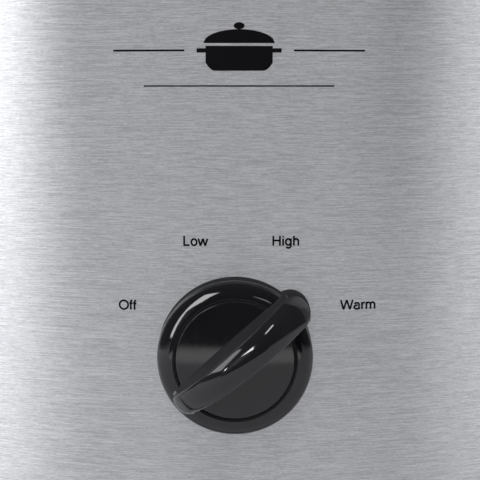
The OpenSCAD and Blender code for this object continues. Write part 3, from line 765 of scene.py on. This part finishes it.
# Plain sans letters as pen strokes, in units of a capital's height: (advance, strokes)
LETTERS = {
    "O": (1.09, [bow(0.545, 0.5, 0.445, 0.45, 0, 360, 28)]),
    "L": (0.78, [[(0.17, 1), (0.17, 0)], [(0.12, 0.055), (0.72, 0.055)]]),
    "H": (1.01, [[(0.17, 1), (0.17, 0)], [(0.84, 1), (0.84, 0)], [(0.17, 0.53), (0.84, 0.53)]]),
    "W": (1.32, [[(0.04, 1), (0.33, 0)], [(0.33, 0), (0.66, 1)],
                 [(0.66, 1), (0.99, 0)], [(0.99, 0), (1.28, 1)]]),
    "a": (0.78, [bow(0.38, 0.47, 0.24, 0.2, 160, 0, 10) + [(0.62, 0.15), (0.68, 0)],
                 bow(0.4, 0.22, 0.285, 0.19, 75, 320, 16)]),
    "f": (0.39, [[(0.17, 0), (0.17, 0.8)] + bow(0.31, 0.82, 0.14, 0.13, 170, 75, 6),
                 [(0.02, 0.67), (0.36, 0.67)]]),
    "g": (0.78, [bow(0.37, 0.37, 0.255, 0.31, 0, 360, 22),
                 [(0.63, 0.73), (0.63, 0)] + bow(0.38, -0.04, 0.25, 0.19, 0, -150, 9)]),
    "h": (0.78, [[(0.16, 1), (0.16, 0)], bow(0.385, 0.46, 0.225, 0.22, 180, 0, 10) + [(0.61, 0)]]),
    "i": (0.31, [[(0.155, 0.73), (0.155, 0)], [(0.155, 1), (0.155, 0.87)]]),
    "m": (1.16, [[(0.15, 0.73), (0.15, 0)], bow(0.365, 0.46, 0.215, 0.22, 180, 0, 10) + [(0.58, 0)],
                 bow(0.795, 0.46, 0.215, 0.22, 180, 0, 10) + [(1.01, 0)]]),
    "o": (0.78, [bow(0.39, 0.365, 0.275, 0.32, 0, 360, 22)]),
    "r": (0.46, [[(0.15, 0.73), (0.15, 0)], bow(0.36, 0.43, 0.21, 0.24, 180, 65, 7)]),
    "w": (1.01, [[(0.04, 0.73), (0.27, 0)], [(0.27, 0), (0.505, 0.73)], [(0.505, 0.73), (0.74, 0)],
                 [(0.74, 0), (0.97, 0.73)]]),
}


def print_on_wrap(name, strips):
    """Strips given as pairs of (x, z) edge points, printed on the wrap as solids a hair thick."""
    parts = []
    for pairs in strips:
        points = []
        for one, other in pairs:
            points += [on_wrap(*one, INK_BACK), on_wrap(*one, INK_FACE),
                       on_wrap(*other, INK_FACE), on_wrap(*other, INK_BACK)]
        closed = pairs[0] == pairs[-1]
        faces = grid_faces(len(pairs), 4, close_rows=False)
        if not closed:
            faces += [(0, 1, 2, 3), tuple(len(points) - 4 + i for i in (3, 2, 1, 0))]
        parts.append((points, faces))
    return piece(name, "housing", "ink", parts)


def pen(path, weight):
    """The strip that a pen of that width leaves along a path of (x, z) points."""
    mitre_limit = 0.28
    closed = dist(path[0], path[-1]) < WELD_DISTANCE
    pairs = []
    for i, (x, z) in enumerate(path):
        before = path[i - 1] if i else path[-2] if closed else path[0]
        after = path[i + 1] if i + 1 < len(path) else path[1] if closed else path[-1]
        tangents = [Vector((q[0] - p[0], q[1] - p[1])).normalized()
                    for p, q in ((before, (x, z)), ((x, z), after)) if p != q]
        along = sum(tangents, Vector((0, 0))).normalized()
        reach = weight / 2 / max(mitre_limit, abs(along.dot(tangents[0])))
        out_x, out_z = along.y * reach, along.x * reach
        pairs.append(((x - out_x, z + out_z), (x + out_x, z - out_z)))
    if closed:
        pairs[-1] = pairs[0]
    return pairs


def label(word, x, z, capital):
    """A word in plain sans letters, centred on x, with its foot at z."""
    strips = []
    at = x - capital * sum(LETTERS[c][0] for c in word) / 2
    for c in word:
        advance, strokes = LETTERS[c]
        strips += [pen([(at + px * capital, z + pz * capital) for px, pz in stroke], STROKE * capital)
                   for stroke in strokes]
        at += advance * capital
    print_on_wrap("label_" + word.lower(), strips)


def filled(low, high, start, end, steps=40):
    """A strip between two heights, given as functions of x, in lengths short enough to follow the wrap."""
    xs = [start + (end - start) * i / steps for i in range(steps + 1)]
    return [((a, low(a)), (a, high(a))) for a in xs]


def pot_mark(x, z):
    """A generic pot between two rules, with a third rule beneath."""
    belly, belly_top, flare = 9.8, 7.2, 7
    lid_foot, lid_half, lid_rise = 8, 10.4, 4
    knob_mid, knob_half, knob_rise = 13, 1.6, 1
    handle_tip, handle_low, handle_high = 12.4, 5.3, 6.5

    def oval(half, middle, rise):
        return lambda a: middle + rise * sqrt(max(0, 1 - (a / half) ** 2))

    def level(height):
        return lambda a: height

    def foot(a):
        return 0.3 * max(0, abs(a) - flare) ** 2

    def nearly(half):
        return half - 0.01

    strips = [
        filled(foot, level(belly_top), -belly, belly),
        filled(level(lid_foot), oval(lid_half, lid_foot, lid_rise), -nearly(lid_half), nearly(lid_half)),
        filled(oval(knob_half, knob_mid, -knob_rise), oval(knob_half, knob_mid, knob_rise),
               -nearly(knob_half), nearly(knob_half), 16),
        filled(level(handle_low), level(handle_high), -handle_tip, -belly, 4),
        filled(level(handle_low), level(handle_high), belly, handle_tip, 4)
    ]
    for start, end, height, weight in ((-37, -16, 5.9, 0.55), (16, 37, 5.9, 0.55), (-28, 28, -4.4, 0.4)):
        strips.append(filled(level(height - weight / 2), level(height + weight / 2), start, end))
    print_on_wrap("pot_mark", [[((x + a, z + b), (x + c, z + d)) for (a, b), (c, d) in pairs]
                               for pairs in strips])


# ---- Stage, light and camera ----

def stage_floor():
    """A round pale floor, wide enough to fill every view."""
    mesh = bpy.data.meshes.new("floor")
    steps, radius = 96, 6.0
    turns = [2 * pi * i / steps for i in range(steps)]
    points = [(radius * cos(t), radius * sin(t), 0) for t in turns]
    mesh.from_pydata(points, [], [tuple(range(steps))])
    floor = bpy.data.objects.new("floor", mesh)
    bpy.context.scene.collection.objects.link(floor)
    finish = Finish("floor", (0.78, 0.78, 0.8), 0.7, Specular_IOR_Level=0.2)
    finish.tint(finish.noise(3, 2), (0.76, 0.76, 0.78), (0.8, 0.8, 0.82))
    mesh.materials.append(finish.material)


def flag(name, low, high, y):
    """A black card that only reflections see, as a studio uses to keep gloss black."""
    mesh = bpy.data.meshes.new(name)
    corners = [(low[0], low[1]), (high[0], low[1]), (high[0], high[1]), (low[0], high[1])]
    mesh.from_pydata([(x, y, z) for x, z in corners], [], [(0, 1, 2, 3)])
    card = bpy.data.objects.new(name, mesh)
    bpy.context.scene.collection.objects.link(card)
    mesh.materials.append(Finish(name, (0.01, 0.01, 0.01), 0.9, Specular_IOR_Level=0.0).material)
    for rays in ("camera", "diffuse", "shadow", "transmission"):
        setattr(card, "visible_" + rays, False)


def softbox(name, azimuth, elevation, distance, width, height, radiance, roll=0):
    """A rectangular light aimed at the knob. Azimuth 0 is ahead of the cooker, and 90 to its right."""
    target = Vector((0, front, knob_z)) * MM
    a, e = radians(azimuth), radians(elevation)
    place = target + distance * Vector((sin(a) * cos(e), -cos(a) * cos(e), sin(e)))
    turn = (target - place).to_track_quat("-Z", "Y") @ Quaternion((0, 0, 1), radians(roll))
    return area_light(name, place, turn, width, height, radiance)


def area_light(name, place, turn, width, height, radiance):
    """A rectangular light that the camera doesn't see, in watts per square metre and steradian."""
    light = bpy.data.lights.new(name, "AREA")
    light.shape = "RECTANGLE"
    light.size, light.size_y = width, height
    light.energy = radiance * pi * width * height
    lamp = bpy.data.objects.new(name, light)
    lamp.location = place
    lamp.rotation_euler = turn.to_euler()
    lamp.visible_camera = False
    bpy.context.scene.collection.objects.link(lamp)
    return lamp


def link_lamps(name, state, pieces, lamps):
    """Let lamps light some pieces alone (INCLUDE) or everything but them (EXCLUDE)."""
    group = bpy.data.collections.new(name)
    for made in pieces:
        group.objects.link(made)
    for entry in group.collection_objects:
        entry.light_linking.link_state = state
    for lamp in lamps:
        lamp.light_linking.receiver_collection = group


def world(seen, ambient, ahead, around, colour):
    """A plain surround: pale to the camera, soft as fill, and darker ahead of the cooker in gloss."""
    surround = bpy.data.worlds.new("studio")
    bpy.context.scene.world = surround
    surround.use_nodes = True
    nodes, links = surround.node_tree.nodes, surround.node_tree.links
    background = nodes["Background"]
    background.inputs["Color"].default_value = (*colour, 1)
    split = nodes.new("ShaderNodeSeparateXYZ")
    links.new(nodes.new("ShaderNodeTexCoord").outputs["Generated"], split.inputs["Vector"])
    room = nodes.new("ShaderNodeMapRange")
    room.interpolation_type = "SMOOTHSTEP"
    set_range(room, (-0.7, -0.1), (ahead, around))
    links.new(split.outputs["Y"], room.inputs["Value"])
    path = nodes.new("ShaderNodeLightPath")
    gloss = nodes.new("ShaderNodeMix")
    gloss.inputs["A"].default_value = ambient
    links.new(room.outputs["Result"], gloss.inputs["B"])
    links.new(path.outputs["Is Glossy Ray"], gloss.inputs["Factor"])
    view = nodes.new("ShaderNodeMix")
    view.inputs["B"].default_value = seen
    links.new(path.outputs["Is Camera Ray"], view.inputs["Factor"])
    links.new(gloss.outputs["Result"], view.inputs["A"])
    links.new(view.outputs["Result"], background.inputs["Strength"])


def camera():
    """Close to the front, a little above the knob and looking down at it."""
    distance, above_knob = 375, 77.2
    aim_above_knob, aside = 33.8, 1.45
    frame_width, sensor_width = 142.2, 36
    target = Vector((aside, front, knob_z + aim_above_knob)) * MM
    place = Vector((aside, front - distance, knob_z + above_knob)) * MM
    data = bpy.data.cameras.new("camera")
    data.sensor_width = sensor_width
    data.lens = sensor_width * (target - place).length / MM / frame_width
    seen = bpy.data.objects.new("camera", data)
    seen.location = place
    seen.rotation_euler = (target - place).to_track_quat("-Z", "Y").to_euler()
    bpy.context.scene.collection.objects.link(seen)
    bpy.context.scene.camera = seen


# ---- The cooker ----

outer_wrap()
heating_well()
base_ring()
side_handle("side_handle_right_grip", "side_handle_right", mirror=False)
side_handle("side_handle_left_grip", "side_handle_left", mirror=True)
rubber_feet()
dish, grip = knob_dish(), knob_grip()
crock()
lid_glass()
lid_knob()

# Each word's middle and foot, from the knob's axis
LABELS = (("Off", -32.25, 12.5), ("Low", -11.85, 32.05), ("High", 15.05, 32.05), ("Warm", 37, 12.5))
for word, x, up in LABELS:
    label(word, x, knob_z + up, capital=2.93)
pot_mark(1.2, knob_z + 83.5)

for row in frame["record"]["subparts"]:
    node = frame["nodes"][row["node"]]
    node.data.materials.clear()
    node.data.materials.append(materials[row["material_slot"]])

# ---- The studio, in metres and degrees ----

stage_floor()
behind_camera = (front - 432) * MM
flag("front_flag", (-0.35, 0.0), (0.35, 0.31), behind_camera)
flag("right_flag", (0.35, 0.0), (0.457, 0.87), behind_camera)

table_glow = Vector((0, (front - 357) * MM, 6 * MM))
facing_up = Quaternion((1, 0, 0), pi)
link_lamps("all_but_dish", "EXCLUDE", [dish], [
    softbox("left_softbox", -67, 30, 1.0, 0.6, 0.6, 4.75)
])
link_lamps("all_but_knob", "EXCLUDE", [dish, grip], [
    softbox("right_softbox", 70, 35, 1.1, 0.6, 0.6, 2.4),
    softbox("front_softbox", 0, 58, 1.0, 1.0, 0.4, 1.4),
    softbox("top_softbox", 180, 65, 1.6, 1.4, 1.0, 0.4),
    softbox("rear_left_softbox", -115, 35, 1.4, 0.8, 0.8, 2.5),
    softbox("rear_right_softbox", 120, 35, 1.4, 0.8, 0.8, 1.5)
])
link_lamps("dish_only", "INCLUDE", [dish], [
    softbox("dish_key", -36, 25, 1.0, 0.34, 0.85, 12, roll=-12),
    softbox("dish_glint", 20, 25, 1.0, 0.2, 0.18, 5),
    area_light("dish_table", table_glow, facing_up, 0.5, 0.145, 1.1)
])
link_lamps("grip_only", "INCLUDE", [grip], [
    softbox("grip_key", -23, 21, 1.0, 0.8, 0.22, 26, roll=40),
    softbox("grip_streak", 22, 60, 1.0, 0.25, 0.08, 16, roll=40)
])
for knob_piece in (dish, grip):
    knob_piece.visible_glossy = False   # keeps the knob's dark smear off the steel above it
world(seen=0.3, ambient=0.47, ahead=0.03, around=0.12, colour=(0.97, 0.98, 1.0))
camera()
bpy.context.scene.view_settings.view_transform = "Standard"
